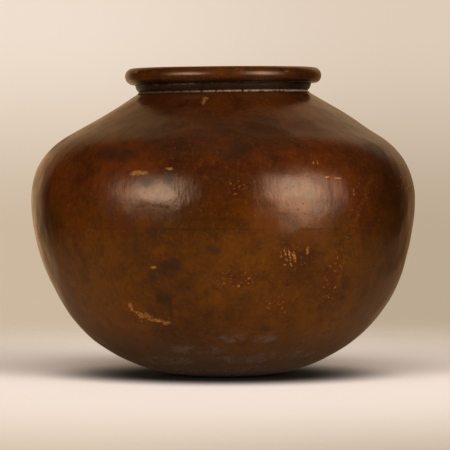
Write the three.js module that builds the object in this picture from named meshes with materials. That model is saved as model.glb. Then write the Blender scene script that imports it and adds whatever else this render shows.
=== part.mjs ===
// A round-bellied copper water pot of the South Asian household kind, as a coppersmith builds it:
// a raised bowl, a shoulder lapped and brazed over the bowl's edge, a moulded collar on the neck,
// and a rim of sheet rolled round an iron wire. Soft solder seals the collar above and below.
// Units are millimetres, +Z is up, and the origin is the centre of the foot, where it stands.

import * as THREE from "three";

const { degToRad } = THREE.MathUtils;

// ---- Body ----
const SHEET = 1.2; // copper sheet of the bowl, the shoulder and the rim
const BELLY_RADIUS = 150; // outside, at the widest
const FOOT_RADIUS = 24; // the flat that the pot stands on
const FLANK_RADIUS = 160; // curvature of the wall just under the widest
const FLANK_START = degToRad(65); // where the bottom curve runs into the flank
const SHOULDER_RADIUS = 56; // curvature of the turn above the widest
const SHOULDER_SLOPE = degToRad(31); // straight cone up to the neck, measured from level

// ---- Seam between bowl and shoulder ----
const SEAM_DROP = 21; // from the widest down to the middle of the braze line
const SEAM_WIDTH = 1.2; // height of the braze line
const LAP = 7; // how far the bowl's edge runs up inside the shoulder

// ---- Neck ----
const LIP_RADIUS = 63.9; // outside of the shoulder's upturned lip
const LIP_RISE = 4; // straight height of that lip
const COLLAR_HEIGHT = 3.6; // of its inner face; its underside slopes down and out with the cone
const COLLAR_FOOT = 1.8; // thickness of the collar at its foot
const COLLAR_BROW = 4.5; // thickness of the collar at its top
const COLLAR_FULLNESS = 0.75; // how far the collar's face swells: 0 is straight, 1 is square
const FILLET_HEIGHT = 1.1; // from the cone straight up to the collar's underside
const FILLET_REACH = 1.6; // how far the lower solder runs out past the collar's foot
const BEAD_HEIGHT = 0.9; // from the collar up to the lowest point of the rolled edge

// ---- Rim ----
const SKIRT_DEPTH = 4; // how far the rim's sheet hangs below the foot of the lip
const WIRE_RADIUS = 4.8; // iron wire in the rolled edge
const ROLL_REACH = 9.3; // from the inner face of the mouth out to the middle of the wire
const ROLL_END = degToRad(30); // how far the edge of the roll comes back in under the wire

const GAP = 0.3; // left between pieces that touch

const SIDES = 64; // facets round the pot
const BODY_STEP = degToRad(10); // most that one facet of the body turns
const ROLL_STEP = degToRad(30); // most that one facet of the rim or the wire turns

// A turn is the angle of an outward face from straight down: 0 under the foot, a right angle at the
// widest, coneTurn on the cone and straightUp on top of the rim.
const widest = Math.PI / 2;
const straightUp = Math.PI;
const coneTurn = straightUp - SHOULDER_SLOPE;

const flankInset = FLANK_RADIUS * (1 - Math.sin(FLANK_START));
const bottomRadius = (BELLY_RADIUS - FOOT_RADIUS - flankInset) / Math.sin(FLANK_START);
const bellyHeight = bottomRadius * (1 - Math.cos(FLANK_START)) + FLANK_RADIUS * Math.cos(FLANK_START);

// The wall's outer face is three arcs, each running smoothly into the next.
const bottomArc = { from: 0, to: FLANK_START, radius: bottomRadius, x: FOOT_RADIUS, z: bottomRadius };
const flankArc = {
  from: FLANK_START, to: widest, radius: FLANK_RADIUS, x: BELLY_RADIUS - FLANK_RADIUS, z: bellyHeight,
};
const shoulderArc = {
  from: widest, to: coneTurn, radius: SHOULDER_RADIUS, x: BELLY_RADIUS - SHOULDER_RADIUS, z: bellyHeight,
};
const WALL = [bottomArc, flankArc, shoulderArc];

const at = (radius, height) => new THREE.Vector2(radius, height);

function arcPoint(arc, turn, depth = 0) {
  const reach = arc.radius - depth;
  return at(arc.x + reach * Math.sin(turn), arc.z - reach * Math.cos(turn));
}

// Points along an arc from one turn to another, both ends included, at a depth below its outer face.
function arcPoints(arc, from, to, step, depth = 0) {
  const count = Math.max(1, Math.ceil(Math.abs(to - from) / step));
  return Array.from({ length: count + 1 }, (_, i) => arcPoint(arc, from + ((to - from) * i) / count, depth));
}

// Points up the wall from one turn to another.
function wallPoints(from, to, depth = 0) {
  const points = [];
  for (const arc of WALL) {
    const start = Math.max(from, arc.from);
    const end = Math.min(to, arc.to);
    if (end <= start) continue;
    points.push(...arcPoints(arc, start, end, BODY_STEP, depth).slice(points.length ? 1 : 0));
  }
  return points;
}

// The turn at which the wall's outer face reaches a height.
function turnAt(height) {
  const arc = WALL.find((a) => height <= arcPoint(a, a.to).y);
  return Math.acos((arc.z - height) / arc.radius);
}

// Height of the cone's outer face at a radius.
function coneHeight(radius) {
  const start = arcPoint(shoulderArc, coneTurn);
  return start.y + (start.x - radius) * Math.tan(SHOULDER_SLOPE);
}

// The seam, from the bowl's shoulder up: the step in the bowl, the braze, the shoulder's lower edge,
// the bowl's top edge, and the step in the shoulder.
const seamHeight = bellyHeight - SEAM_DROP;
const brazeLow = turnAt(seamHeight - SEAM_WIDTH / 2);
const brazeHigh = turnAt(seamHeight + SEAM_WIDTH / 2);
const bowlStep = turnAt(seamHeight - SEAM_WIDTH / 2 - GAP);
const shoulderEdge = turnAt(seamHeight + SEAM_WIDTH / 2 + GAP);
const bowlEdge = turnAt(seamHeight + SEAM_WIDTH / 2 + GAP + LAP);
const shoulderStep = turnAt(seamHeight + SEAM_WIDTH / 2 + GAP + LAP + GAP);
const outerLap = (SHEET - GAP) / 2; // both edges are thinned to half of the sheet where they lap
const innerLap = (SHEET + GAP) / 2;

const lipInner = LIP_RADIUS - SHEET;
const lipFoot = coneHeight(LIP_RADIUS);
const conePlumb = 1 / Math.cos(SHOULDER_SLOPE); // turns a gap square to the cone into a plumb one
const collarInner = LIP_RADIUS + GAP;
const collarFoot = collarInner + COLLAR_FOOT;
const collarBrow = collarInner + COLLAR_BROW;
const collarUnder = coneHeight(collarInner) + FILLET_HEIGHT;
const collarTop = collarUnder + COLLAR_HEIGHT;

const skirtOuter = lipInner - GAP;
const mouthRadius = skirtOuter - SHEET;
const rollRadius = WIRE_RADIUS + GAP + SHEET;
const roll = { radius: rollRadius, x: mouthRadius + ROLL_REACH, z: collarTop + BEAD_HEIGHT + rollRadius };
const flare = { radius: ROLL_REACH, x: roll.x, z: roll.z + rollRadius - ROLL_REACH };

// A turned solid from its half-section, which starts and ends on the axis or closes on itself.
const turned = (points) => new THREE.LatheGeometry(points, SIDES).rotateX(Math.PI / 2);
const ring = (points) => turned([...points, points[0].clone()]);

// Raised from one disc. Its top edge is thinned from outside and stands up inside the shoulder.
function lowerBowl() {
  const outside = wallPoints(0, bowlStep);
  const lap = wallPoints(bowlStep, bowlEdge, innerLap);
  const inside = wallPoints(0, bowlEdge, SHEET).reverse();
  return turned([at(0, 0), ...outside, ...lap, ...inside, at(0, SHEET)]);
}

// The cone and the turn under it, with a lip turned up at the mouth. Its lower edge is thinned from
// inside and comes down over the bowl.
function upperShoulder() {
  const outside = wallPoints(shoulderEdge, coneTurn);
  const lipTop = lipFoot + LIP_RISE;
  const lipUnder = coneHeight(lipInner) - SHEET * conePlumb;
  const lip = [at(LIP_RADIUS, lipFoot), at(LIP_RADIUS, lipTop), at(lipInner, lipTop), at(lipInner, lipUnder)];
  const inside = wallPoints(shoulderStep, coneTurn, SHEET).reverse();
  const lap = wallPoints(shoulderEdge, shoulderStep, outerLap).reverse();
  return ring([...outside, ...lip, ...inside, ...lap]);
}

// Hard solder in the groove between the two edges, filed level with the wall.
function seamBraze() {
  return ring([...wallPoints(brazeLow, brazeHigh), ...wallPoints(brazeLow, brazeHigh, outerLap).reverse()]);
}

// A moulded band round the lip, thicker at the top than at the foot, with a swelling face. Its
// underside follows the cone.
function neckCollar() {
  const foot = at(collarFoot, coneHeight(collarFoot) + FILLET_HEIGHT);
  const brow = at(collarBrow, collarTop);
  const swell = at(
    foot.x + (brow.x - foot.x) * COLLAR_FULLNESS,
    foot.y + (brow.y - foot.y) * (1 - COLLAR_FULLNESS),
  );
  const face = new THREE.QuadraticBezierCurve(foot, swell, brow).getPoints(4);
  return ring([...face, at(collarInner, collarTop), at(collarInner, collarUnder)]);
}

// Solder run into the corner between the cone and the collar's foot.
function neckSolder() {
  const toe = collarFoot + FILLET_REACH;
  const low = (radius) => at(radius, coneHeight(radius) + GAP * conePlumb);
  const high = (radius) => at(radius, coneHeight(radius) + FILLET_HEIGHT - GAP * conePlumb);
  return ring([low(toe), high(collarFoot), high(collarInner), low(collarInner)]);
}

// Solder on top of the collar, filling up to the underside of the rolled edge.
function rimSolder() {
  const low = collarTop + GAP;
  const face = collarBrow - GAP;
  const clear = roll.radius + GAP;
  const high = roll.z - Math.sqrt(clear ** 2 - (roll.x - face) ** 2);
  const swollen = at(collarBrow, (low + high) / 2);
  return ring([at(face, low), swollen, at(face, high), at(collarInner, high), at(collarInner, low)]);
}

// One strip: a skirt hanging inside the lip, a flared mouth, and an edge rolled out, down and under.
function rolledRim() {
  const inward = straightUp + widest;
  const face = [
    ...arcPoints(roll, -ROLL_END, straightUp, ROLL_STEP),
    ...arcPoints(flare, straightUp, inward, ROLL_STEP).slice(1),
  ];
  const back = [
    ...arcPoints(flare, inward, straightUp, ROLL_STEP, SHEET),
    ...arcPoints(roll, straightUp, -ROLL_END, ROLL_STEP, SHEET).slice(1),
  ];
  const skirtLow = lipFoot - SKIRT_DEPTH;
  return ring([...face, at(mouthRadius, skirtLow), at(skirtOuter, skirtLow), ...back]);
}

function rimWire() {
  return turned(arcPoints(roll, 0, 2 * straightUp, ROLL_STEP, roll.radius - WIRE_RADIUS));
}

const metal = (color, roughness, metalness) =>
  new THREE.MeshStandardMaterial({ color, roughness, metalness });
const agedCopper = metal(0x5a2a0a, 0.42, 0.6);
const rubbedCopper = metal(0x6b3a18, 0.36, 0.7);
const hardSolder = metal(0x4f2a10, 0.45, 0.6);
const softSolder = metal(0x77706a, 0.6, 0.5);
const iron = metal(0x3c3835, 0.6, 0.8);

const pot = new THREE.Group();
pot.name = "water_pot";

function addPiece(name, geometry, material) {
  const piece = new THREE.Mesh(geometry, material);
  piece.name = name;
  pot.add(piece);
}

addPiece("lower_bowl", lowerBowl(), agedCopper);
addPiece("upper_shoulder", upperShoulder(), agedCopper);
addPiece("belly_seam_braze", seamBraze(), hardSolder);
addPiece("neck_collar", neckCollar(), agedCopper);
addPiece("neck_solder", neckSolder(), softSolder);
addPiece("rim_solder", rimSolder(), softSolder);
addPiece("rolled_rim", rolledRim(), rubbedCopper);
addPiece("rim_wire", rimWire(), iron);

export default pot;
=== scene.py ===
"""A round-bellied copper water pot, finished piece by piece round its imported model."""

import math

import bpy
import numpy as np
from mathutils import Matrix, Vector


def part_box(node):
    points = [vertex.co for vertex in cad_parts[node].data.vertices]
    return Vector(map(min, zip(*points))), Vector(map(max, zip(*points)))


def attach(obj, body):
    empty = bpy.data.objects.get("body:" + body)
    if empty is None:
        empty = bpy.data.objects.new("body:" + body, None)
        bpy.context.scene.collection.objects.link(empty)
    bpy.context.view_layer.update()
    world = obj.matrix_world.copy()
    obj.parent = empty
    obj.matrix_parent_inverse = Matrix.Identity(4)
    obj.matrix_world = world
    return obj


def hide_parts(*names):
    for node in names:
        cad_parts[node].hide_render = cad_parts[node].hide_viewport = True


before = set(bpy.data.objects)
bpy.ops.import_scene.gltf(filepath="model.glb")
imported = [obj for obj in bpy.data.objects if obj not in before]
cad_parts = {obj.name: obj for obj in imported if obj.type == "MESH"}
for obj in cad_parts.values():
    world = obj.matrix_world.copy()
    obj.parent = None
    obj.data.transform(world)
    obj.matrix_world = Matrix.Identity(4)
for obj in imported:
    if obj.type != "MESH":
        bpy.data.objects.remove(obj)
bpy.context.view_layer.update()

# ======================================================================================
# Lower bowl
# One disc of copper sheet, sunk and raised over a stake into a deep round bowl, then gone
# over with overlapping blows of a smooth hammer. It stands on a small flat in its middle,
# and its top edge is thinned where the shoulder laps over it.
# ======================================================================================
SHEET = 0.0012
LAP_STEP = 0.00075  # how far the bowl's thinned edge stands in from its outer face
FOOT_RADIUS = 0.024
FLANK_CURVE = 0.160
FLANK_START = math.radians(65)
SHOULDER_CURVE = 0.056
CONE_SLOPE = math.radians(31)
OUTER_STEP = 0.0016  # spacing of the points on a face that shows
INNER_STEP = 0.006  # spacing inside the pot
BODY_SIDES = 512

WIDEST = math.pi / 2
CONE = math.pi - CONE_SLOPE
belly_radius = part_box("upper_shoulder")[1][0]
bottom_curve = (
    belly_radius - FOOT_RADIUS - FLANK_CURVE * (1 - math.sin(FLANK_START))
) / math.sin(FLANK_START)
belly_height = bottom_curve * (1 - math.cos(FLANK_START)) + FLANK_CURVE * math.cos(FLANK_START)

# The wall's outer face is three arcs: from turn, to turn, curve, middle. A turn is the angle
# of the outward face from straight down, so it is 0 under the foot.
WALL = (
    (0, FLANK_START, bottom_curve, (FOOT_RADIUS, bottom_curve)),
    (FLANK_START, WIDEST, FLANK_CURVE, (belly_radius - FLANK_CURVE, belly_height)),
    (WIDEST, CONE, SHOULDER_CURVE, (belly_radius - SHOULDER_CURVE, belly_height)),
)


def arc(middle, curve, start, end, step):
    """Points (radius, height) along an arc from one turn to another, both ends included."""
    count = max(1, math.ceil(curve * abs(end - start) / step))
    turns = [start + (end - start) * i / count for i in range(count + 1)]
    return [(middle[0] + curve * math.sin(t), middle[1] - curve * math.cos(t)) for t in turns]


def line(start, end, step):
    """Points along a straight line, its start left out."""
    count = max(1, math.ceil(math.dist(start, end) / step))
    return [
        (start[0] + (end[0] - start[0]) * i / count, start[1] + (end[1] - start[1]) * i / count)
        for i in range(1, count + 1)
    ]


def wall(start, end, depth, step):
    """Points up the wall from one turn to another, at a depth below its outer face."""
    points = []
    for low, high, curve, middle in WALL:
        low, high = max(low, start), min(high, end)
        if high > low:
            points += arc(middle, curve - depth, low, high, step)[1 if points else 0:]
    return points


def turn_at(height):
    """The turn at which the wall's outer face reaches a height."""
    for low, high, curve, middle in WALL:
        if height <= middle[1] - curve * math.cos(high):
            return math.acos((middle[1] - height) / curve)
    raise ValueError("above the wall")


class Wire:
    """One socket of a node tree. Arithmetic on it adds Math nodes, or Vector Math on vectors."""

    def __init__(self, tree, socket=None):
        self.tree = tree
        self.socket = socket

    def node(self, kind, settings=None, inputs=None, output=0):
        """Adds a node: its settings first, then the values or links of its sockets."""
        made = self.tree.nodes.new(kind)
        for name, value in (settings or {}).items():
            setattr(made, name, value)
        for key, value in (inputs or {}).items():
            if isinstance(value, Wire):
                self.tree.links.new(value.socket, made.inputs[key])
            else:
                made.inputs[key].default_value = value
        return Wire(self.tree, made.outputs[output]) if made.outputs else None

    def maths(self, operation, *terms):
        """One Math node, or one Vector Math node when any term is a vector."""
        vector = any(isinstance(t, Wire) and t.socket.type == "VECTOR" for t in terms)
        kind = "ShaderNodeVectorMath" if vector else "ShaderNodeMath"
        if vector:
            terms = [(t,) * 3 if isinstance(t, (int, float)) else t for t in terms]
        return self.node(kind, {"operation": operation}, dict(enumerate(terms)))

    def do(self, operation, *others):
        """An operation that starts from this value, such as its sine or its square root."""
        return self.maths(operation, self, *others)

    def __add__(self, other):
        return self.maths("ADD", self, other)

    __radd__ = __add__

    def __mul__(self, other):
        return self.maths("MULTIPLY", self, other)

    __rmul__ = __mul__

    def __sub__(self, other):
        return self.maths("SUBTRACT", self, other)

    def __rsub__(self, other):
        return self.maths("SUBTRACT", other, self)

    def __truediv__(self, other):
        return self.maths("DIVIDE", self, other)

    def __rtruediv__(self, other):
        return self.maths("DIVIDE", other, self)

    def __neg__(self):
        return self * -1

    def ramp(self, low, high, bottom=0.0, top=1.0):
        """Goes smoothly from bottom to top as the value goes from low to high."""
        ends = {"Value": self, "From Min": low, "From Max": high, "To Min": bottom, "To Max": top}
        return self.node("ShaderNodeMapRange", {"interpolation_type": "SMOOTHSTEP"}, ends)

    def blend(self, first, second):
        """A colour between two, by this value from 0 to 1."""
        return self.node("ShaderNodeMix", {"data_type": "RGBA"}, {0: self, 6: first, 7: second}, 2)

    def parts(self):
        """The X, Y and Z of a vector."""
        split = self.node("ShaderNodeSeparateXYZ", {}, {0: self})
        return [Wire(self.tree, out) for out in split.socket.node.outputs]

    def join(self, x, y, z):
        """A vector from its X, Y and Z."""
        return self.node("ShaderNodeCombineXYZ", {}, {0: x, 1: y, 2: z})

    def noise(self, scale, detail=2.0, rough=0.5):
        """Cloudy noise over this vector, from 0 to 1 and mostly near a half."""
        inputs = {"Vector": self, "Scale": scale, "Detail": detail, "Roughness": rough}
        return self.node("ShaderNodeTexNoise", {}, inputs)

    def cells(self, scale, soft=0.0):
        """The distance from this point to the nearest of many scattered points, in cells."""
        feature = "SMOOTH_F1" if soft else "F1"
        inputs = {"Vector": self, "Scale": scale, **({"Smoothness": soft} if soft else {})}
        return self.node("ShaderNodeTexVoronoi", {"feature": feature}, inputs, "Distance")


MERGE = 1e-5  # points closer than this are one, at the seam of the turning and on the axis
FOOT_EASE = 0.008  # the hammering fades out over this height, so that the foot stays flat
CORNER = math.radians(35)  # edges sharper than this stay crisp
BLOW_SOFTNESS = 0.5  # how far one dish runs over into the next


def lathe_and_hammer():
    """A tree that turns a half-section round the axis and goes over it with hammer blows."""
    tree = bpy.data.node_groups.new("lathe_and_hammer", "GeometryNodeTree")
    sockets = (
        ("Section", "Geometry", None), ("Sides", "Int", 64), ("Blow Width", "Float", 0.014),
        ("Blow Depth", "Float", 0.0), ("Sway Width", "Float", 0.06), ("Sway Depth", "Float", 0.0),
        ("Heart", "Float", 0.12), ("Finish", "Material", None),
    )
    for name, kind, value in sockets:
        made = tree.interface.new_socket(name, in_out="INPUT", socket_type="NodeSocket" + kind)
        if value is not None:
            made.default_value = value
    tree.interface.new_socket("Piece", in_out="OUTPUT", socket_type="NodeSocketGeometry")

    start = Wire(tree)
    given = start.node("NodeGroupInput").socket.node
    section, sides, blow_width, blow_depth, sway_width, sway_depth, heart, finish = (
        Wire(tree, given.outputs[name]) for name, _, _ in sockets
    )
    # A grid with one column for each side and one row for each point of the section.
    count = start.node("GeometryNodeAttributeDomainSize", {}, {0: section}, "Point Count")
    sheet = start.node(
        "GeometryNodeMeshGrid", {}, {"Vertices X": sides + 1, "Vertices Y": count}, "Mesh"
    )
    index = start.node("GeometryNodeInputIndex")
    column = ((index + 0.5) / count).do("FLOOR")
    row = index - column * count
    spot = start.node(
        "GeometryNodeSampleIndex", {"data_type": "FLOAT_VECTOR"},
        {"Geometry": section, "Value": start.node("GeometryNodeInputPosition"), "Index": row},
    )
    radius, _, height = spot.parts()
    angle = column * math.tau / sides
    turned = start.join(radius * angle.do("COSINE"), radius * angle.do("SINE"), height)
    lathed = start.node("GeometryNodeSetPosition", {}, {"Geometry": sheet, "Position": turned})
    closed = start.node(
        "GeometryNodeMergeByDistance", {}, {"Geometry": lathed, "Distance": MERGE}
    )

    # Each blow leaves a shallow dish, and the sheet sways a little between courses of blows.
    # Both faces move the same way, so the sheet keeps its thickness, and the foot stays flat.
    place = start.node("GeometryNodeInputPosition")
    outward = (place - start.join(0.0, 0.0, heart)).do("NORMALIZE")
    near = place.cells(1 / blow_width, BLOW_SOFTNESS)
    dish = near * near * 2.0 - 1.0
    sway = (place.noise(1 / sway_width, 1.0) - 0.5) * 2.0
    push = (dish * blow_depth + sway * sway_depth) * place.parts()[2].ramp(0.0, FOOT_EASE)
    hammered = start.node(
        "GeometryNodeSetPosition", {}, {"Geometry": closed, "Offset": outward * push}
    )
    whole = start.node("GeometryNodeRealizeInstances", {}, {"Geometry": hammered})
    fold = start.node("GeometryNodeInputMeshEdgeAngle", {}, {}, "Unsigned Angle")
    soft = start.node("GeometryNodeSetShadeSmooth", {}, {"Geometry": whole})
    edged = start.node(
        "GeometryNodeSetShadeSmooth", {"domain": "EDGE"},
        {"Geometry": soft, "Shade Smooth": fold.do("LESS_THAN", CORNER)},
    )
    painted = start.node("GeometryNodeSetMaterial", {}, {"Geometry": edged, "Material": finish})
    start.node("NodeGroupOutput", {}, {0: painted})
    return tree


TURNING = lathe_and_hammer()

# Knocks from years of use: degrees from the front, height, reach and depth of each dent.
DENTS = (
    (-88, 0.190, 0.012, 0.0012), (90, 0.079, 0.014, 0.0012),
    (-90, 0.055, 0.014, 0.0012), (24, 0.140, 0.026, 0.0009), (-35, 0.196, 0.030, 0.0008),
    (-62, 0.105, 0.034, 0.0008), (62, 0.165, 0.026, 0.0008), (150, 0.120, 0.030, 0.0018),
    (-140, 0.070, 0.024, 0.0014), (-75, 0.150, 0.012, 0.0006), (78, 0.128, 0.014, 0.0008),
    (70, 0.100, 0.014, 0.0008), (-72, 0.086, 0.014, 0.0007), (110, 0.140, 0.020, 0.0010),
)
# The pot leans and swells a little: height, reach, sideways lean and outward swelling.
SAGS = (
    (0.203, 0.012, 0.0018, 0.0000), (0.069, 0.022, 0.0016, 0.0004),
    (0.035, 0.020, 0.0006, 0.0012), (0.000, 0.020, 0.0006, 0.0000),
)
AXIS_CALM = 0.03  # nearer the axis than this, a swelling fades away
# The neck was set on slightly crooked: its tilt in degrees at each height.
TILT_HEIGHTS = (0.190, 0.221, 0.2268, 0.2285)
TILTS = (0.0, 0.83, 0.83, 0.44)


def knock(mesh):
    """Leans, tilts and dents the sheet as the making and years of use have."""
    flat = np.empty(len(mesh.vertices) * 3)
    mesh.vertices.foreach_get("co", flat)
    points = flat.reshape(-1, 3)
    angle = np.arctan2(points[:, 0], -points[:, 1])
    radius = np.hypot(points[:, 0], points[:, 1])
    height = points[:, 2].copy()
    outward = np.zeros(len(points))
    for degrees, up, reach, depth in DENTS:
        around = (angle - math.radians(degrees) + math.pi) % math.tau - math.pi
        away = np.hypot(around * radius, height - up) / reach
        outward -= depth * np.exp(-(away**2))
    lean = np.zeros(len(points))
    for up, reach, sideways, swelling in SAGS:
        near = np.exp(-(((height - up) / reach) ** 2))
        lean += sideways * near
        outward += swelling * near
    points[:, :2] *= (1 + outward / np.maximum(radius, AXIS_CALM))[:, None]
    points[:, 0] += lean
    points[:, 2] += points[:, 0] * np.tan(np.radians(np.interp(height, TILT_HEIGHTS, TILTS)))
    mesh.vertices.foreach_set("co", points.ravel())
    mesh.update()


def turn(name, section, finish, sides=256, **sizes):
    """One turned piece as a plain mesh, its place in the mesh."""
    chain = bpy.data.meshes.new(name + "_section")
    links = [(i, i + 1) for i in range(len(section) - 1)]
    chain.from_pydata([(r, 0, z) for r, z in section], links, [])
    piece = bpy.data.objects.new(name, chain)
    bpy.context.scene.collection.objects.link(piece)
    turning = piece.modifiers.new("turning", "NODES")
    turning.node_group = TURNING
    values = {"Sides": sides, "Finish": finish, **sizes}
    for item in TURNING.interface.items_tree:
        if item.in_out == "INPUT" and item.name in values:
            turning[item.identifier] = values[item.name]
    made = piece.evaluated_get(bpy.context.evaluated_depsgraph_get())
    mesh = bpy.data.meshes.new_from_object(made)
    piece.modifiers.remove(turning)
    piece.data = mesh
    knock(mesh)
    return piece


def paint(code):
    """A hex colour as linear red, green, blue and alpha."""
    parts = [int(code[i:i + 2], 16) / 255 for i in (1, 3, 5)]
    return (*(c / 12.92 if c <= 0.04045 else ((c + 0.055) / 1.055) ** 2.4 for c in parts), 1.0)


def new_finish(name):
    """An empty material, the start of its tree, and its Principled shader."""
    material = bpy.data.materials.new(name)
    material.use_nodes = True
    tree = material.node_tree
    tree.nodes.clear()
    shader = tree.nodes.new("ShaderNodeBsdfPrincipled")
    out = tree.nodes.new("ShaderNodeOutputMaterial")
    tree.links.new(shader.outputs[0], out.inputs[0])
    return material, Wire(tree), shader


def feed(shader, **values):
    """Sets or links the shader's sockets, named with _ for a space."""
    for name, value in values.items():
        socket = shader.inputs[name.replace("_", " ")]
        if isinstance(value, Wire):
            shader.id_data.links.new(value.socket, socket)
        else:
            socket.default_value = value


NEAR_AXIS = 0.001  # radii are kept above this, so that nothing is divided by 0
RAGGED_FROM = 0.002  # a mark lower than this is less ragged up and down, so it stays whole


class Surface:
    """The coordinates that every finish on the pot is laid out by."""

    def __init__(self, start):
        self.place = start.node("ShaderNodeTexCoord", output="Object")
        x, y, self.height = self.place.parts()
        self.radius = (x * x + y * y).do("SQRT").do("MAXIMUM", NEAR_AXIS)
        self.angle = x.do("ARCTAN2", -y)  # from the front, growing to the right
        self.level = self.height - x * math.tan(math.radians(TILTS[1]))  # follows the neck's tilt
        self.x, self.y = x / self.radius, y / self.radius
        self.ragged = self.place.noise(230.0, 4.0, 0.75) - 0.5

    def combed(self, around, up, detail=3.0):
        """Noise drawn out along the wall: so many marks round one radian, so many up a metre."""
        stretched = self.place.join(self.x * around, self.y * around, self.height * up)
        return stretched.noise(1.0, detail, 0.6)

    def mark(self, degrees, height, wide, tall, lean=0.0, ragged=0.006):
        """An uneven spot, 1 in its middle: degrees from the front, and sizes in metres."""
        across = (self.angle - math.radians(degrees)) * self.radius
        up = self.height - height
        across = (across - up * lean + self.ragged * ragged) / wide
        up = (up + self.ragged * ragged * min(1.0, tall / RAGGED_FROM)) / tall
        return (across * across + up * up).ramp(1.0, 0.1)

    def marks(self, spots):
        """All of several marks, as one mask."""
        mask = self.mark(*spots[0])
        for spot in spots[1:]:
            mask = mask.do("MAXIMUM", self.mark(*spot))
        return mask


def laid_over(colour, mask, strength, tone):
    """A colour with a plain tone over it where the mask is 1, at so much strength."""
    return (mask * strength).blend(colour, paint(tone))


REDDISH = "#4a1a06"  # where the skin has turned to red oxide
GOLDEN = "#8a5312"  # where it has worn thin
DEEP = "#201006"  # the darkest brown of the skin on old copper, also the colour of the painted shade
BARE = "#a5611a"  # copper rubbed bright
PALE = "#dba764"  # the brightest of it
LOW_GREY_BROWN = "#46301f"  # grey-brown laid on towards the bottom of the pot
STAIN = "#21160e"
TINNED = "#5d4f48"
GLOSS = "#ffe7cb"  # the warm tint of its reflections
# How far each pattern stands up from the sheet.
MOTTLE_RELIEF, FACET_RELIEF, STROKE_RELIEF = 0.00018, 0.00016, 0.00004
FLECK_RELIEF, RING_RELIEF, PIT_RELIEF = 0.00003, 0.00003, 0.0001


def aged_copper(
    name, skin, smooth=0.21, grain=1.0, rubbed=(), pitted=(), stained=(), smeared=(), drip=None,
    shade=None,
):
    """Sheet copper browned by air, oil and handling. Rubbed and pitted marks show bare metal,
    stains are dark and dull, and smears are the grey of old tinning. A skin, a drip and a shade
    are functions of the surface, and a grain under 1 has fainter hammer and brush marks."""
    material, start, shader = new_finish(name)
    on = Surface(start)
    # Patterns, by how many clouds, marks or spots of each go to a metre.
    cloud = on.place.noise(16.0, 4.0, 0.6)
    mottle = on.place.noise(70.0, 6.0, 0.68)
    rusty = on.place.noise(34.0, 5.0, 0.6)
    fleck = on.place.noise(330.0, 4.0, 0.7)
    grit = on.place.noise(850.0, 3.0, 0.7)
    strokes = (on.combed(84.0, 130.0) - 0.5) * grain + 0.5
    facets = on.combed(26.0, 60.0, 2.0) * grain
    rings = on.combed(1.2, 300.0)
    scatter = on.place.noise(42.0, 2.0)
    specks = (on.place.cells(150.0) + (grit - 0.5) * 0.3).ramp(0.10, 0.03) * scatter.ramp(0.50, 0.62)
    pits = on.place.cells(210.0).ramp(0.18, 0.06) * scatter.ramp(0.48, 0.36)

    # The skin, with what has grown in it, from the broadest pattern to the finest.
    colour = skin(on, cloud)
    colour = laid_over(colour, rusty.ramp(0.5, 0.7), 0.35, REDDISH)
    colour = laid_over(colour, mottle.ramp(0.44, 0.74), 0.55, DEEP)
    colour = laid_over(colour, fleck.ramp(0.52, 0.72), 0.22, GOLDEN)
    colour = laid_over(colour, fleck.ramp(0.48, 0.30), 0.30, DEEP)
    colour = laid_over(colour, rings.ramp(0.54, 0.74), 0.18, DEEP)
    # The shade function darkens parts of the skin; some of that darkening is painted shade.
    if shade:
        colour = shade(on).blend(colour, paint(DEEP))
    low = on.height + (mottle - 0.5) * 0.06
    colour = laid_over(colour, low.ramp(0.046, 0.012), 0.6, LOW_GREY_BROWN)
    colour = laid_over(colour, strokes.ramp(0.5, 0.75), 0.12, DEEP)
    rough = smooth + (mottle - 0.5) * 0.24 + (strokes - 0.5) * 0.16 + (cloud - 0.5) * 0.12

    # What use has left on it, and how bare the copper is where it was rubbed.
    bare = specks * 0.4
    if stained:
        stain = on.marks(stained) * mottle.ramp(0.32, 0.52, 0.35)
        colour = laid_over(colour, stain, 0.55, STAIN)
        rough = rough + stain * 0.12
    if smeared:
        smear = on.marks(smeared) * on.combed(12.0, 160.0).ramp(0.36, 0.56) * mottle.ramp(0.34, 0.54)
        colour = laid_over(colour, smear, 0.75, TINNED)
        rough = rough + smear * 0.1
    if drip:
        colour = laid_over(colour, drip(on) * grit.ramp(0.44, 0.6), 0.4, GOLDEN)
    if pitted:
        crowd = on.marks(pitted)
        colour = laid_over(colour, crowd, 0.3, REDDISH)
        dots = on.place.noise(400.0, 3.0, 0.7).ramp(0.59, 0.67)
        bare = bare.do("MAXIMUM", crowd * dots * 0.75)
    if rubbed:
        scuff = on.marks(rubbed)
        colour = laid_over(colour, scuff, 0.45, GOLDEN)
        worn = scuff * fleck.ramp(0.40, 0.54, 0.12) * grit.ramp(0.42, 0.58, 0.2)
        bare = bare.do("MAXIMUM", worn)
    colour = laid_over(colour, pits, 0.7, DEEP)
    colour = (bare * 0.9).blend(colour, grit.ramp(0.44, 0.60).blend(paint(BARE), paint(PALE)))

    height = (
        mottle * MOTTLE_RELIEF + facets * FACET_RELIEF + strokes * STROKE_RELIEF
        + fleck * FLECK_RELIEF + rings * RING_RELIEF - pits * PIT_RELIEF
    )
    bump = start.node("ShaderNodeBump", {}, {"Height": height, "Distance": 1.0})
    feed(
        shader, Base_Color=colour, Roughness=rough, Normal=bump, Metallic=bare * 0.4 + 0.12,
        IOR=1.5, Specular_Tint=paint(GLOSS),
    )
    return material


HAMMERED = {"Blow Depth": 0.00020, "Sway Width": 0.034, "Sway Depth": 0.00045}
REDDENS = (0.106, 0.158)  # the heights between which the brown turns redder


def body_skin(on, cloud):
    """Golden brown on the belly, redder above it, and clouded darker all over."""
    up = on.height + (cloud - 0.5) * 0.10
    warm = up.ramp(*REDDENS).blend(paint("#623606"), paint("#622d0c"))
    dark = up.ramp(*REDDENS).blend(paint("#482506"), paint("#46200a"))
    return cloud.ramp(0.38, 0.62).blend(dark, warm)


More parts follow.
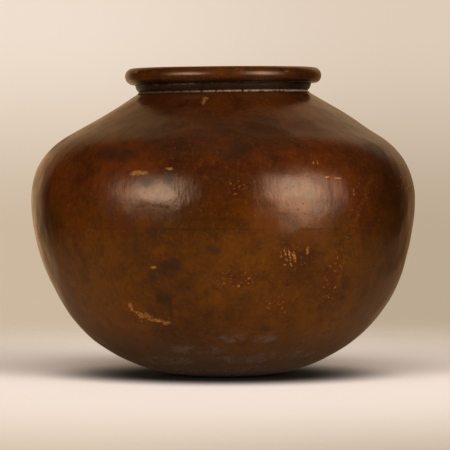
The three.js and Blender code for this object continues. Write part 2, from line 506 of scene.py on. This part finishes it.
def two_tone(warm, dark):
    """A skin of two browns in clouds."""
    return lambda on, cloud: cloud.ramp(0.38, 0.62).blend(paint(dark), paint(warm))


BLOOMS = ((72.0, 0.125, 0.095, 0.120, 0.0, 0.03), (-150.0, 0.120, 0.080, 0.050, 0.0, 0.03))
BLOOM_DEPTH = 0.55
SHADE_HEIGHTS = (0.166, 0.190)  # the heights between which the shoulder is painted darker towards the neck, as painted shade
# How dark the painted shade on the upper shoulder is.
PAINTED_SHADE_DEPTH = 0.34


def blooms_and_painted_shade(on):
    """Broad darker patches on the right and at the back, and painted shade darkening the shoulder up by
    the neck.
    """
    above = (on.height + on.ragged * 0.004).ramp(*SHADE_HEIGHTS)
    return (on.marks(BLOOMS) * BLOOM_DEPTH).do("MAXIMUM", above * PAINTED_SHADE_DEPTH)


bowl_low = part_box("lower_bowl")
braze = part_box("belly_seam_braze")
seam_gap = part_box("upper_shoulder")[0][2] - braze[1][2]
bowl_step = turn_at(braze[0][2] - seam_gap)
bowl_edge = turn_at(bowl_low[1][2])
bowl_section = (
    [(0, 0)]
    + line((0, 0), (FOOT_RADIUS, 0), OUTER_STEP * 2)[:-1]
    + wall(0, bowl_step, 0, OUTER_STEP)
    + wall(bowl_step, bowl_edge, LAP_STEP, INNER_STEP)
    + wall(0, bowl_edge, SHEET, INNER_STEP)[::-1]
    + line((FOOT_RADIUS, SHEET), (0, SHEET), INNER_STEP)
)
# Marks: degrees from the front, height, half width, half height and lean of each.
BOWL_RUBBED = (
    (-32.7, 0.0582, 0.0030, 0.0036), (-31.6, 0.0545, 0.0016, 0.0030, -1.0),
    (-29.8, 0.0520, 0.0046, 0.0034, -0.6), (-27.2, 0.0512, 0.0034, 0.0036),
    (-24.0, 0.0480, 0.0070, 0.0018, -0.35), (-20.9, 0.0462, 0.0040, 0.0016),
    (-21.5, 0.0885, 0.0030, 0.0014), (20.1, 0.0985, 0.0011, 0.0062, -0.3),
    (21.5, 0.0965, 0.0011, 0.0050, -0.3), (25.6, 0.1010, 0.0013, 0.0036),
    (18.6, 0.1000, 0.0008, 0.0044, -0.3),
    (-150.0, 0.0700, 0.0060, 0.0030), (128.0, 0.0500, 0.0070, 0.0024, 0.4),
)
BOWL_PITTED = (
    (18.0, 0.0610, 0.0150, 0.0100), (21.0, 0.0960, 0.0140, 0.0110), (4.0, 0.0800, 0.0240, 0.0100),
    (-30.0, 0.0500, 0.0160, 0.0080), (36.0, 0.0800, 0.0100, 0.0260), (100.0, 0.0700, 0.0300, 0.0140),
    (-95.0, 0.0800, 0.0300, 0.0160), (175.0, 0.0700, 0.0400, 0.0160),
)
BOWL_STAINED = (
    (-18.6, 0.0835, 0.0130, 0.0070, 0.8), (-15.0, 0.0910, 0.0090, 0.0060),
    (-17.9, 0.0555, 0.0026, 0.0120), (-19.5, 0.0660, 0.0080, 0.0080), (16.0, 0.0415, 0.0060, 0.0030),
    (-3.0, 0.1020, 0.0090, 0.0050), (100.0, 0.0800, 0.0140, 0.0060),
    (-120.0, 0.0950, 0.0100, 0.0050), (170.0, 0.0600, 0.0120, 0.0090),
)
BOWL_SMEARED = (
    (3.2, 0.0345, 0.0130, 0.0044), (17.0, 0.0340, 0.0140, 0.0040), (-12.0, 0.0250, 0.0280, 0.0050),
    (8.0, 0.0170, 0.0400, 0.0040), (20.0, 0.0080, 0.0300, 0.0040), (-20.0, 0.0060, 0.0300, 0.0040),
    (-30.0, 0.0150, 0.0400, 0.0050), (32.0, 0.0200, 0.0400, 0.0050), (90.0, 0.0260, 0.0260, 0.0050),
    (180.0, 0.0300, 0.0300, 0.0050), (-100.0, 0.0240, 0.0260, 0.0060),
)


# The drip: degrees from the front and height of its lowest stretch, how many degrees it has
# moved over by the given height above that, how far it wavers, and half of its width.
DRIP_ANGLE, DRIP_FOOT = 38.6, 0.085
DRIP_DRIFT, DRIP_RISE = 10.0, 0.07
DRIP_WAVER, DRIP_WIDTH = 7.0, 1.7


def old_drip(on):
    """Where water ran down from a knock: a thin wavering line down the right of the front."""
    fall = (on.height - DRIP_FOOT) / DRIP_RISE
    waver = (on.combed(0.5, 130.0, 2.0) - 0.5) * DRIP_WAVER
    path = fall * fall * DRIP_DRIFT + DRIP_ANGLE + waver
    off = (on.angle * math.degrees(1.0) - path).do("ABSOLUTE")
    return off.ramp(DRIP_WIDTH, 0.1) * on.height.ramp(0.066, 0.080) * on.height.ramp(0.160, 0.150)


bowl = turn(
    "bowl", bowl_section,
    aged_copper(
        "bowl copper", body_skin, rubbed=BOWL_RUBBED, pitted=BOWL_PITTED,
        stained=BOWL_STAINED, smeared=BOWL_SMEARED, drip=old_drip, shade=blooms_and_painted_shade,
    ),
    BODY_SIDES, **HAMMERED,
)
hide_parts("lower_bowl")
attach(bowl, "root")

# ======================================================================================
# Upper shoulder
# The second copper sheet: the turn of the shoulder and the straight cone above it, hammered
# like the bowl. Its thinned lower edge is brazed down over the bowl's edge, and its mouth is
# turned up into a short lip that carries the neck.
# ======================================================================================
LIP_RADIUS = 0.0639
EDGE_CLEAR = 0.002  # the sheet is whole again this far above the bowl's edge, in radians
shoulder_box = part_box("upper_shoulder")
shoulder_edge = turn_at(shoulder_box[0][2])
cone_foot = (
    belly_radius - SHOULDER_CURVE * (1 - math.sin(CONE)), belly_height - SHOULDER_CURVE * math.cos(CONE)
)


def cone_height(radius):
    """Height of the cone's outer face at a radius."""
    return cone_foot[1] + (cone_foot[0] - radius) * math.tan(CONE_SLOPE)


lip_foot = (LIP_RADIUS, cone_height(LIP_RADIUS))
lip_inner = LIP_RADIUS - SHEET
lip_under = (lip_inner, cone_height(lip_inner) - SHEET / math.cos(CONE_SLOPE))
lip_top = shoulder_box[1][2]
shoulder_outside = wall(shoulder_edge, CONE, 0, OUTER_STEP)
lap_end = bowl_edge + EDGE_CLEAR
cone_inside = wall(lap_end, CONE, SHEET, INNER_STEP)[::-1]
shoulder_section = (
    shoulder_outside
    + line(shoulder_outside[-1], lip_foot, OUTER_STEP)
    + line(lip_foot, (LIP_RADIUS, lip_top), OUTER_STEP)
    + [(lip_inner, lip_top), lip_under]
    + line(lip_under, cone_inside[0], INNER_STEP)
    + cone_inside[1:]
    + wall(shoulder_edge, lap_end, SHEET - LAP_STEP, INNER_STEP)[::-1]
    + [shoulder_outside[0]]
)
SHOULDER_RUBBED = (
    (-25.3, 0.1590, 0.0078, 0.0026), (-16.0, 0.1622, 0.0038, 0.0014), (-10.4, 0.2150, 0.0024, 0.0022),
    (-11.0, 0.2120, 0.0016, 0.0030), (28.3, 0.1665, 0.0008, 0.0020), (29.8, 0.1668, 0.0008, 0.0020),
    (31.8, 0.1560, 0.0030, 0.0009), (35.5, 0.1550, 0.0050, 0.0007),
    (-100.0, 0.1560, 0.0060, 0.0014), (140.0, 0.1620, 0.0080, 0.0012), (75.0, 0.1480, 0.0040, 0.0010),
)
SHOULDER_PITTED = (
    (4.0, 0.1470, 0.0120, 0.0090), (42.0, 0.1400, 0.0080, 0.0160),
    (70.0, 0.1500, 0.0200, 0.0100), (-110.0, 0.1500, 0.0300, 0.0120), (165.0, 0.1500, 0.0300, 0.0120),
)
SHOULDER_STAINED = (
    (-22.0, 0.1530, 0.0090, 0.0060), (-16.0, 0.1560, 0.0060, 0.0070), (2.0, 0.1760, 0.0200, 0.0100),
    (-34.0, 0.1720, 0.0260, 0.0070), (60.0, 0.1750, 0.0200, 0.0090), (-80.0, 0.1800, 0.0240, 0.0100),
    (160.0, 0.1850, 0.0300, 0.0100),
)
shoulder = turn(
    "shoulder", shoulder_section,
    aged_copper(
        "shoulder copper", body_skin, rubbed=SHOULDER_RUBBED, pitted=SHOULDER_PITTED,
        stained=SHOULDER_STAINED, drip=old_drip, shade=blooms_and_painted_shade,
    ),
    BODY_SIDES, **HAMMERED,
)
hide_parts("upper_shoulder")
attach(shoulder, "root")

# ======================================================================================
# Belly seam
# Hard solder that filled the groove between the two sheets. It was filed level and has
# darkened with them, so it shows as one faint line all round.
# ======================================================================================
SEAM_SINK = 0.00004  # how far the filed line lies below the wall
SEAM_FILL = 0.0022  # how far the solder ran on into the fine gaps at its edges, in radians
SEAM_STEP = 0.0004
SEAM_INNER_STEP = 0.0009
seam_low, seam_high = bowl_step - SEAM_FILL, shoulder_edge + SEAM_FILL
seam_section = (
    wall(seam_low, seam_high, SEAM_SINK, SEAM_STEP)
    + wall(seam_low, seam_high, LAP_STEP, SEAM_INNER_STEP)[::-1]
)
seam_section.append(seam_section[0])


def seam_tone(on):
    """A little darker than the sheets, more in some places than in others."""
    return blooms_and_painted_shade(on).do("MAXIMUM", on.place.noise(30.0, 3.0).ramp(0.35, 0.65, 0.0, 0.3))


seam = turn(
    "belly_seam", seam_section, aged_copper("seam solder", body_skin, smooth=0.23, shade=seam_tone),
    BODY_SIDES, **HAMMERED,
)
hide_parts("belly_seam_braze")
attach(seam, "root")

# ======================================================================================
# Neck collar
# A moulded copper band sweated round the lip. It swells from a thin foot to a thick brow,
# close up under the rim, and it is coloured nearly black.
# ======================================================================================
NECK_GAP = 0.0003  # between the collar and the lip
COLLAR_FOOT = 0.0018  # its thickness at the foot
COLLAR_FULLNESS = 0.75  # how far its face swells: 0 is straight, 1 is square
NECK_STEP = 0.0004
NECK_SIDES = 384
collar_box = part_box("neck_collar")
collar_inner = LIP_RADIUS + NECK_GAP
collar_foot = (collar_inner + COLLAR_FOOT, collar_box[0][2])
collar_inner_foot = (collar_inner, collar_foot[1] + COLLAR_FOOT * math.tan(CONE_SLOPE))
collar_brow = (collar_box[1][0], collar_box[1][2])
swell = (
    collar_foot[0] + (collar_brow[0] - collar_foot[0]) * COLLAR_FULLNESS,
    collar_foot[1] + (collar_brow[1] - collar_foot[1]) * (1 - COLLAR_FULLNESS),
)


def swelling(start, pull, end, count):
    """Points on a curve from start to end that is pulled towards a third point."""
    ways = [i / count for i in range(count + 1)]
    return [
        tuple(a * (1 - w) ** 2 + 2 * b * w * (1 - w) + c * w**2 for a, b, c in zip(start, pull, end))
        for w in ways
    ]


collar_section = (
    swelling(collar_foot, swell, collar_brow, 14)
    + line(collar_brow, (collar_inner, collar_brow[1]), NECK_STEP * 3)
    + line((collar_inner, collar_brow[1]), collar_inner_foot, NECK_STEP * 3)
    + line(collar_inner_foot, collar_foot, NECK_STEP * 2)
)
collar = turn(
    "collar", collar_section,
    aged_copper("collar copper", two_tone("#2a1708", "#120903"), smooth=0.42, grain=0.3),
    NECK_SIDES, **{"Sway Width": 0.02, "Sway Depth": 0.00012},
)
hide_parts("neck_collar")
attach(collar, "root")

# ======================================================================================
# Neck solder
# Tin solder run into the corner under the collar with a hot iron. Its upper edge is still
# bright, and below it thins out over the shoulder in an uneven, tarnished skirt.
# ======================================================================================


TARNISH_DARK, TARNISH_LIGHT = "#140b05", "#2c1d11"
TIN_BRIGHT = "#ae9a7e"
TIN_GREEN = "#46503f"  # a little verdigris, mostly on the left


def tin_solder(name, bright):
    """Dull tin-lead solder under brown tarnish, left bright in streaks."""
    material, start, shader = new_finish(name)
    on = Surface(start)
    wander = on.combed(30.0, 400.0)
    tarnish = on.combed(11.0, 700.0, 4.0)
    shine = wander.ramp(0.38, 0.54) * bright(on)
    colour = tarnish.ramp(0.40, 0.60).blend(paint(TARNISH_DARK), paint(TARNISH_LIGHT))
    green = on.combed(6.0, 60.0).ramp(0.58, 0.68) * on.x.ramp(0.1, -0.1)
    colour = laid_over(colour, green * bright(on), 0.8, TIN_GREEN)
    colour = shine.blend(colour, paint(TIN_BRIGHT))
    height = wander * 0.0003 + on.place.noise(900.0, 2.0) * 0.00006
    bump = start.node("ShaderNodeBump", {}, {"Height": height, "Distance": 1.0})
    feed(
        shader, Base_Color=colour, Roughness=0.5 - shine * 0.08, Metallic=shine * 0.4, Normal=bump,
        IOR=1.35, Specular_Tint=paint(GLOSS),
    )
    return material


BRIGHT_EDGE = collar_foot[1] - 0.0013  # the height above which the tin is still bright
EDGE_BLUR = 0.0001


def upper_edge(on):
    """The bright upper edge of the neck's solder, brightest on the right."""
    up = on.level + on.ragged * 0.0014
    edge = up.ramp(BRIGHT_EDGE - EDGE_BLUR, BRIGHT_EDGE + EDGE_BLUR)
    return edge * on.x.ramp(-0.7, 0.8, 0.15, 1.0)


solder_toe_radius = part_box("neck_solder")[1][0]
solder_toe = (solder_toe_radius, cone_height(solder_toe_radius))
solder_root = (collar_inner, cone_height(collar_inner))
solder_face = (collar_foot[0] + 0.0005, collar_foot[1] - 0.0009)
neck_solder_section = (
    swelling(solder_toe, solder_face, collar_foot, 8)
    + [collar_inner_foot, solder_root]
    + line(solder_root, solder_toe, NECK_STEP * 2)
)
neck_solder = turn(
    "neck_solder", neck_solder_section, tin_solder("neck tin", upper_edge), NECK_SIDES,
    **{"Sway Width": 0.009, "Sway Depth": 0.00022},
)
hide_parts("neck_solder")
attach(neck_solder, "root")

# ======================================================================================
# Rim solder
# A thin line of the same tin solder on top of the collar, run in from outside so that it
# fills up to the underside of the rolled edge and holds the rim.
# ======================================================================================


def thin_line(on):
    """The rim's solder shows a dull grey only here and there, mostly on the left."""
    return on.combed(5.0, 20.0).ramp(0.40, 0.56, 0.0, 0.3) * on.x.ramp(0.2, -0.2, 0.1)


LINE_FULLNESS = 0.0003  # how far the tin's face is pulled out past its edges
line_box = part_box("rim_solder")
line_low, line_high = line_box[0][2] - NECK_GAP, line_box[1][2] + NECK_GAP / 2
line_out = line_box[1][0]
line_swell = (line_out + LINE_FULLNESS, (line_low + line_high) / 2)
rim_line_section = (
    swelling((line_out, line_low), line_swell, (line_out, line_high), 4)
    + [(collar_inner, line_high), (collar_inner, line_low), (line_out, line_low)]
)
rim_line = turn(
    "rim_solder_line", rim_line_section, tin_solder("rim tin", thin_line), NECK_SIDES,
    **{"Sway Width": 0.02, "Sway Depth": 0.0001},
)
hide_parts("rim_solder")
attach(rim_line, "root")

# ======================================================================================
# Rolled rim and its wire
# One strip of copper: a skirt soldered inside the lip, a flared mouth, and an edge rolled
# out, down and under round an iron wire. Hands and other pots keep its outside rubbed.
# ======================================================================================
ROLL_REACH = 0.0093  # from the inner face of the mouth out to the middle of the wire
ROLL_END = math.radians(30)  # how far the edge of the roll comes back in under the wire
SKIRT_DEPTH = 0.004  # how far the skirt hangs below the foot of the lip
RIM_STEP = 0.0009
RIM_SIDES = 512
RIM_SWAY = {"Sway Width": 0.03, "Sway Depth": 0.0003, "Heart": 0.20}
wire_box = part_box("rim_wire")
wire_radius = (wire_box[1][2] - wire_box[0][2]) / 2
roll_middle = (wire_box[1][0] - wire_radius, (wire_box[1][2] + wire_box[0][2]) / 2)
roll_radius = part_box("rolled_rim")[1][0] - roll_middle[0]
flare_middle = (roll_middle[0], roll_middle[1] + roll_radius - ROLL_REACH)
mouth_radius = roll_middle[0] - ROLL_REACH
skirt_outer = mouth_radius + SHEET
skirt_low = lip_foot[1] - SKIRT_DEPTH
UP = math.pi
INWARD = 1.5 * math.pi
rim_section = (
    arc(roll_middle, roll_radius, -ROLL_END, UP, RIM_STEP)
    + arc(flare_middle, ROLL_REACH, UP, INWARD, RIM_STEP)[1:]
    + line((mouth_radius, flare_middle[1]), (mouth_radius, skirt_low), RIM_STEP * 2)
    + line((mouth_radius, skirt_low), (skirt_outer, skirt_low), RIM_STEP)
    + line((skirt_outer, skirt_low), (skirt_outer, flare_middle[1]), RIM_STEP * 3)
    + arc(flare_middle, ROLL_REACH - SHEET, INWARD, UP, RIM_STEP * 2)[1:]
    + arc(roll_middle, roll_radius - SHEET, UP, -ROLL_END, RIM_STEP * 2)[1:]
)
rim_section.append(rim_section[0])
RIM_RUBBED = (
    (-62.0, 0.2360, 0.0030, 0.0008), (40.0, 0.2362, 0.0020, 0.0008), (110.0, 0.2350, 0.0050, 0.0012),
    (-150.0, 0.2360, 0.0040, 0.0010), (165.0, 0.2385, 0.0040, 0.0008),
)


def painted_shade_under_rim(on):
    """Painted shade under the roll, darker towards its underside."""
    return on.level.ramp(0.2325, 0.2280) * 0.85


rim = turn(
    "rim", rim_section,
    aged_copper(
        "rim copper", two_tone("#5a2c08", "#3a1c06"), smooth=0.26, grain=0.12, rubbed=RIM_RUBBED,
        shade=painted_shade_under_rim,
    ),
    RIM_SIDES, **RIM_SWAY,
)
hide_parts("rolled_rim")
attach(rim, "root")


def drawn_iron():
    """Drawn iron wire with a thin brown rust."""
    material, start, shader = new_finish("iron wire")
    on = Surface(start)
    rust = on.place.noise(180.0, 4.0, 0.6)
    colour = rust.ramp(0.4, 0.62).blend(paint("#38332f"), paint("#5a3018"))
    bump = start.node("ShaderNodeBump", {}, {"Height": rust * 0.0002, "Distance": 1.0})
    feed(shader, Base_Color=colour, Roughness=rust * 0.3 + 0.45, Metallic=0.6, Normal=bump)
    return material


wire = turn(
    "wire", arc(roll_middle, wire_radius, 0, math.tau, RIM_STEP * 1.5), drawn_iron(), RIM_SIDES // 2,
    **RIM_SWAY,
)
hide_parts("rim_wire")
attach(wire, "root")

# ======================================================================================
# Studio
# The pot stands on a pale round floor, with pale cloth behind it and two tall soft windows
# in front, which the world holds. One weak lamp fills the front, and one lights the floor
# alone. The camera stands well back, about level with the shoulder, with a long lens.
# ======================================================================================
CAMERA_DISTANCE = 2.584
CAMERA_HEIGHT = 0.1835
AIM = (0.0015, 0.0, 0.1169)
LENS = 264.0

camera = bpy.data.objects.new("camera", bpy.data.cameras.new("camera"))
camera.data.lens = LENS
camera.data.sensor_width = 36.0
camera.data.clip_end = 100.0
camera.location = (AIM[0], -CAMERA_DISTANCE, CAMERA_HEIGHT)
camera.rotation_euler = (Vector(AIM) - camera.location).to_track_quat("-Z", "Y").to_euler()
bpy.context.scene.collection.objects.link(camera)
bpy.context.scene.camera = camera
bpy.context.scene.view_settings.view_transform = "Standard"


def floor_finish():
    """A matt pale floor that fades into the cloth far behind the pot."""
    material, start, shader = new_finish("pale floor")
    x, y, _ = start.node("ShaderNodeTexCoord", output="Object").parts()
    away = (x * x + y * y).do("SQRT")
    # The camera sees a pale floor with a painted shadow dark under the pot, and the pot itself sees a
    # browner one.
    seen = start.node("ShaderNodeLightPath", output="Is Camera Ray")
    painted_contact_shadow = away.ramp(0.150, 0.065, 0.0, 0.97)
    pale = painted_contact_shadow.blend(paint("#f8eee8"), paint("#080403"))
    feed(
        shader, Base_Color=seen.blend(paint("#a48c72"), pale), Roughness=0.9,
        Alpha=away.ramp(0.86, 0.14),
    )
    shader.inputs["Specular IOR Level"].default_value = 0.1
    return material


FLOOR_RADIUS = 1.8
FLOOR_SIDES = 96
ring = [
    (FLOOR_RADIUS * math.cos(a), FLOOR_RADIUS * math.sin(a), 0.0)
    for a in (math.tau * i / FLOOR_SIDES for i in range(FLOOR_SIDES))
]
floor_mesh = bpy.data.meshes.new("floor")
floor_mesh.from_pydata(ring, [], [list(range(FLOOR_SIDES))])
floor_mesh.materials.append(floor_finish())
floor = bpy.data.objects.new("floor", floor_mesh)
bpy.context.scene.collection.objects.link(floor)

WINDOW_GLOW = 9.0
HORIZON = (-0.03, 0.035)  # where the backdrop goes from its lower tone to its upper
world = bpy.data.worlds.new("studio")
bpy.context.scene.world = world
world.use_nodes = True
tree = world.node_tree
tree.nodes.clear()
start = Wire(tree)
x, y, z = start.node("ShaderNodeTexCoord", output="Generated").parts()
# What the camera sees behind the pot.
left = z.ramp(*HORIZON).blend(paint("#ccb89f"), paint("#efdecd"))
right = z.ramp(*HORIZON).blend(paint("#bba991"), paint("#deccb9"))
seen = x.ramp(-0.06, 0.06).blend(left, right)
# What lights the pot: pale cloth behind it, and a dark room in front, beside and above.
# Ways round are in degrees from the front, and ways up in degrees above level.
around = x.do("ARCTAN2", -y) * math.degrees(1.0)
up = z.do("ARCSINE") * math.degrees(1.0)
cloth = around.do("ABSOLUTE").ramp(132, 157) * up.ramp(68, 42)
beside = x.ramp(-0.3, 0.3).blend(paint("#edc697"), paint("#98744e"))
higher = x.ramp(-0.3, 0.3).blend(paint("#b4926a"), paint("#cdad88"))
side = up.ramp(0, 24).blend(beside, higher)
room = up.ramp(56, 70).blend(paint("#1b130d"), paint("#6a5a4a"))
over = cloth.blend(room, side)
# Two tall soft windows in front, brightest in their middles.
left_window = around.ramp(-74, -42) * around.ramp(-18, -35) * up.ramp(-5, 6) * up.ramp(44, 4)
right_window = around.ramp(20, 48) * around.ramp(76, 46) * up.ramp(-14, 8) * up.ramp(46, 18)
path = start.node("ShaderNodeLightPath", output="Is Camera Ray")
shone = (left_window + right_window) * WINDOW_GLOW * (1 - path)
walls = start.node("ShaderNodeBackground", {}, {"Color": path.blend(over, seen), "Strength": 1.0})
panes = start.node("ShaderNodeBackground", {}, {"Color": paint("#fff8ee"), "Strength": shone})
both = start.node("ShaderNodeAddShader", {}, {0: walls, 1: panes})
start.node("ShaderNodeOutputWorld", {}, {0: both})


POT_MIDDLE = Vector((0, 0, 0.12))


def soft_light(name, azimuth, elevation, distance, width, height, watts):
    """A rectangular lamp aimed at the pot, with no reflection of its own."""
    light = bpy.data.objects.new(name, bpy.data.lights.new(name, "AREA"))
    light.data.shape = "RECTANGLE"
    light.data.size, light.data.size_y = width, height
    light.data.energy = watts
    light.data.color = paint("#fffaf6")[:3]
    light.visible_glossy = False
    a, e = math.radians(azimuth), math.radians(elevation)
    way = Vector((math.sin(a) * math.cos(e), -math.cos(a) * math.cos(e), math.sin(e)))
    light.location = POT_MIDDLE + way * distance
    light.rotation_euler = (-way).to_track_quat("-Z", "Y").to_euler()
    bpy.context.scene.collection.objects.link(light)
    return light


soft_light(
    "front fill", azimuth=0, elevation=38, distance=1.8, width=1.6, height=0.8, watts=4
)
floor_light = soft_light(
    "floor light", azimuth=0, elevation=58, distance=2.2, width=2.4, height=1.6, watts=35
)
lit = bpy.data.collections.new("lit by the floor light")
lit.objects.link(floor)
floor_light.light_linking.receiver_collection = lit
